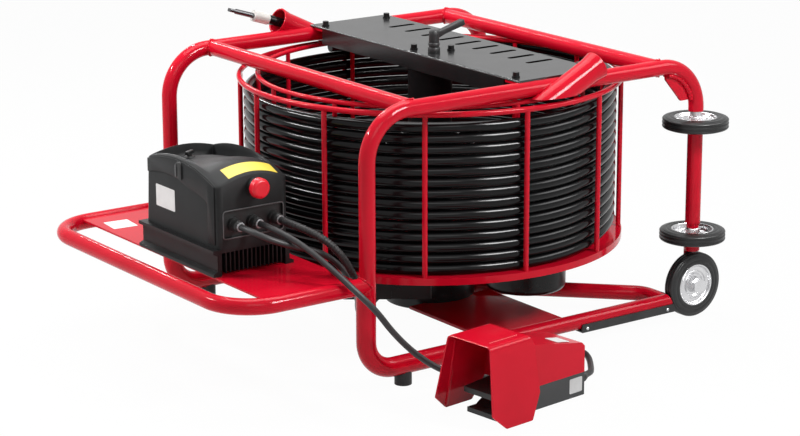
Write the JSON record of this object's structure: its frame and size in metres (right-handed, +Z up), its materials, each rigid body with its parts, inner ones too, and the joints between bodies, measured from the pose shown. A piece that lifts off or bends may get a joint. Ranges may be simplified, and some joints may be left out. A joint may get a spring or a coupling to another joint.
{
  "type": "pipe milling machine",
  "caption": "Wheeled tubular-frame drain milling machine: turning basket with a coiled flexible shaft, drive motor, control box and foot switch.",
  "frame": {"origin": "middle of the machine's footprint on the floor, cables left out", "axes": "+X from the control box towards the wheels, +Y from the foot switch towards the rear hoop, +Z up"},
  "size_m": [1.2773, 1.1567, 0.6619],
  "materials": {
    "red_paint": "gloss red powder coat",
    "black_paint": "satin black paint",
    "zinc": "bright zinc",
    "steel": "turned steel",
    "bronze": "bearing bronze",
    "tyre_rubber": "solid rubber",
    "rubber": "moulded rubber",
    "shaft_casing": "gloss black plastic casing",
    "grey_housing": "textured charcoal paint",
    "sink_alu": "dark anodised aluminium",
    "black_plastic": "matte black plastic",
    "red_plastic": "gloss red plastic",
    "white_plastic": "white plastic",
    "grey_plastic": "dark grey plastic"
  },
  "bodies": {
    "frame": {"front_hoop": "red_paint", "rear_hoop": "red_paint", "cross_tubes": "red_paint", "bend_guards": "red_paint", "corner_gusset": "red_paint", "platform_loop": "red_paint", "platform_plate": "red_paint", "rubber_feet": "rubber", "skids": "black_paint", "wheel_brackets": "red_paint", "lower_axles": "zinc", "upper_axle": "steel", "spindle_sleeves": "red_paint", "braces": "red_paint", "base_plates": "red_paint", "hub_housing": "black_paint", "brush_block": "black_plastic", "centre_post": "steel", "post_cap": "steel", "thrust_ring": "steel", "top_bar": "black_paint", "bar_bolts": "black_paint", "shaft_guides": "red_paint", "lead_out": "shaft_casing", "shaft_collar": "white_plastic", "heat_sink": "sink_alu", "box_housing": "grey_housing", "connector_panel": "black_plastic", "box_fittings": "black_plastic", "supply_cable": "rubber", "motor_cable": "rubber", "pedal_cord": "rubber", "pedal_hood": "red_paint", "pedal_cover": "red_paint", "pedal_base": "grey_plastic", "pedal_pin": "steel", "toe_plate": "black_plastic"},
    "basket": {"basket_floor": "red_paint", "outer_cage": "red_paint", "inner_cage": "red_paint", "hub_sleeve": "black_paint", "hub_bushes": "bronze", "slip_ring": "bronze", "motor_body": "black_paint", "gear_head": "black_paint", "terminal_box": "black_paint", "flex_shaft": "shaft_casing"},
    "drive": {"drive_coupling": "steel"},
    "core": {"core_tip": "steel"},
    "front_wheel": {"front_tyre": "tyre_rubber", "front_rim": "zinc"},
    "rear_wheel": {"rear_tyre": "tyre_rubber", "rear_rim": "zinc"},
    "high_wheel": {"high_tyre": "tyre_rubber", "high_rim": "zinc"},
    "mid_wheel": {"mid_tyre": "tyre_rubber", "mid_rim": "zinc"},
    "lever": {"clamp_lever": "black_paint"},
    "stop": {"estop_button": "red_plastic"},
    "treadle_plate": {"treadle": "black_plastic"}
  },
  "joints": [
    {"name": "basket_spin", "type": "hinge", "parent": "frame", "child": "basket", "pos_m": [0.12618, 0.14336, 0.3], "axis": [0, 0, 1], "continuous": true},
    {"name": "front_wheel_spin", "type": "hinge", "parent": "frame", "child": "front_wheel", "pos_m": [0.56617, -0.23834, 0.0725], "axis": [0, 1, 0], "continuous": true},
    {"name": "rear_wheel_spin", "type": "hinge", "parent": "frame", "child": "rear_wheel", "pos_m": [0.56617, 0.52506, 0.0725], "axis": [0, 1, 0], "continuous": true},
    {"name": "high_wheel_spin", "type": "hinge", "parent": "frame", "child": "high_wheel", "pos_m": [0.56217, -0.23834, 0.44], "axis": [0, 0, 1], "continuous": true},
    {"name": "mid_wheel_spin", "type": "hinge", "parent": "frame", "child": "mid_wheel", "pos_m": [0.56217, -0.23834, 0.188], "axis": [0, 0, 1], "continuous": true},
    {"name": "drive_spin", "type": "hinge", "parent": "basket", "child": "drive", "pos_m": [0.28804, -0.09249, 0.225], "axis": [0.9703, 0.2419, 0], "continuous": true},
    {"name": "core_spin", "type": "hinge", "parent": "frame", "child": "core", "pos_m": [-0.0738, 0.54636, 0.62768], "axis": [-0.9521, 0, 0.3057], "continuous": true},
    {"name": "lever_turn", "type": "hinge", "parent": "frame", "child": "lever", "pos_m": [0.10817, 0.10436, 0.62], "axis": [0, 0, 1], "range_deg": [-60, 60]},
    {"name": "stop_press", "type": "slide", "parent": "frame", "child": "stop", "axis": [0, 1, 0], "range_m": [0, 0.005], "stiffness_N_per_m": 900},
    {"name": "pedal_press", "type": "hinge", "parent": "frame", "child": "treadle_plate", "pos_m": [-0.10465, -0.47674, 0.062], "axis": [0.1219, -0.9925, 0], "range_deg": [0, 10], "stiffness_Nm_per_rad": 4, "springref_deg": -20.05}
  ],
  "couplings": [
    {"joint": "core_spin", "follows": "drive_spin", "ratio": 1}
  ]
}
